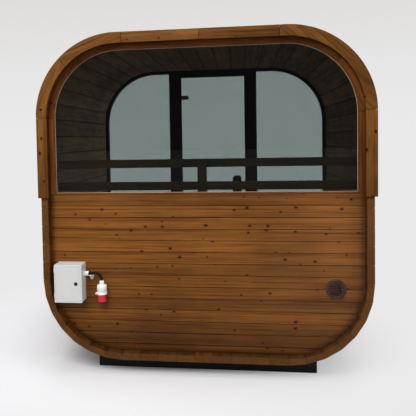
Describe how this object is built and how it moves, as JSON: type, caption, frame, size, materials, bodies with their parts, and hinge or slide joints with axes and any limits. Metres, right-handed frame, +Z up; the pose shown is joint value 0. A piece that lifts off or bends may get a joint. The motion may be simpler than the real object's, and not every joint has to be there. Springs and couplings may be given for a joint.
{
  "type": "outdoor sauna cabin",
  "caption": "Rounded-square sauna cabin of lengthwise wooden staves with a tinted half-moon rear window, framed glass front with a hinged glass door, control box and plug cable.",
  "frame": {"origin": "centre of the bounding box in plan, on the ground under the bearers", "axes": "+Z up, +X to the right when looking at the pictured rear wall, +Y from the rear wall towards the glass front, which faces +Y"},
  "size_m": [2.332, 2.085, 2.421],
  "materials": {
    "shell_wood": "oiled brown softwood staves",
    "roof_felt": "dark bitumen covering with mineral grit",
    "fascia_wood": "oiled brown softwood boards",
    "base_black": "black stained bearer",
    "wall_wood": "oiled knotty softwood boards",
    "frame_dark": "dark painted timber",
    "window_wood": "oiled dark brown softwood",
    "bead_wood": "brown glazing bead",
    "tinted_glass": "dark tinted",
    "clear_glass": "clear tempered",
    "hinge_metal": "satin",
    "handle_wood": "oiled",
    "backrest_wood": "planed",
    "vent_brown": "glossy dark red-brown",
    "box_grey": "light grey powder coat",
    "lock_black": "black turn lock",
    "cable_black": "black rubber",
    "plug_white": "white moulded",
    "plug_red": "red moulded"
  },
  "bodies": {
    "cabin": {"shell_floor": "shell_wood", "shell_roof": "shell_wood", "shell_left": "shell_wood", "shell_right": "shell_wood", "shell_corner_lower_left": "shell_wood", "shell_corner_lower_right": "shell_wood", "shell_corner_upper_left": "shell_wood", "shell_corner_upper_right": "shell_wood", "roof_cover_left": "roof_felt", "roof_cover_right": "roof_felt", "roof_cover_top": "roof_felt", "fascia_rear_left": "fascia_wood", "fascia_rear_top": "fascia_wood", "fascia_rear_right": "fascia_wood", "fascia_front_left": "fascia_wood", "fascia_front_top": "fascia_wood", "fascia_front_right": "fascia_wood", "bearers": "base_black", "rear_wall": "wall_wood", "rear_window_frame": "window_wood", "front_frame_left": "frame_dark", "front_frame_right": "frame_dark", "door_post_left": "frame_dark", "door_post_right": "frame_dark", "door_head": "frame_dark", "door_threshold": "frame_dark", "rear_window_beads": "bead_wood", "rear_window_glass": "tinted_glass", "front_pane_left": "clear_glass", "front_pane_right": "clear_glass", "door_hinge_leaves": "hinge_metal", "backrest_rails": "backrest_wood", "backrest_post": "backrest_wood", "vent_grille": "vent_brown", "control_box_body": "box_grey", "cable": "cable_black", "plug_body": "plug_white", "cable_clip": "plug_white", "box_gland": "plug_white", "plug_shroud": "plug_red"},
    "door": {"door_glass": "clear_glass", "door_hinge_clamps": "hinge_metal", "door_handle": "handle_wood"},
    "control_box_cover": {"control_box_lid": "box_grey", "control_box_lock": "lock_black"}
  },
  "joints": [
    {"name": "door_hinge", "type": "hinge", "parent": "cabin", "child": "door", "pos_m": [-0.315, 0.9695, 1.255], "axis": [0, 0, 1], "range_deg": [0, 100]},
    {"name": "control_box_hinge", "type": "hinge", "parent": "cabin", "child": "control_box_cover", "pos_m": [-1.0555, -1.0175, 0.661], "axis": [0, 0, -1], "range_deg": [0, 95]}
  ]
}
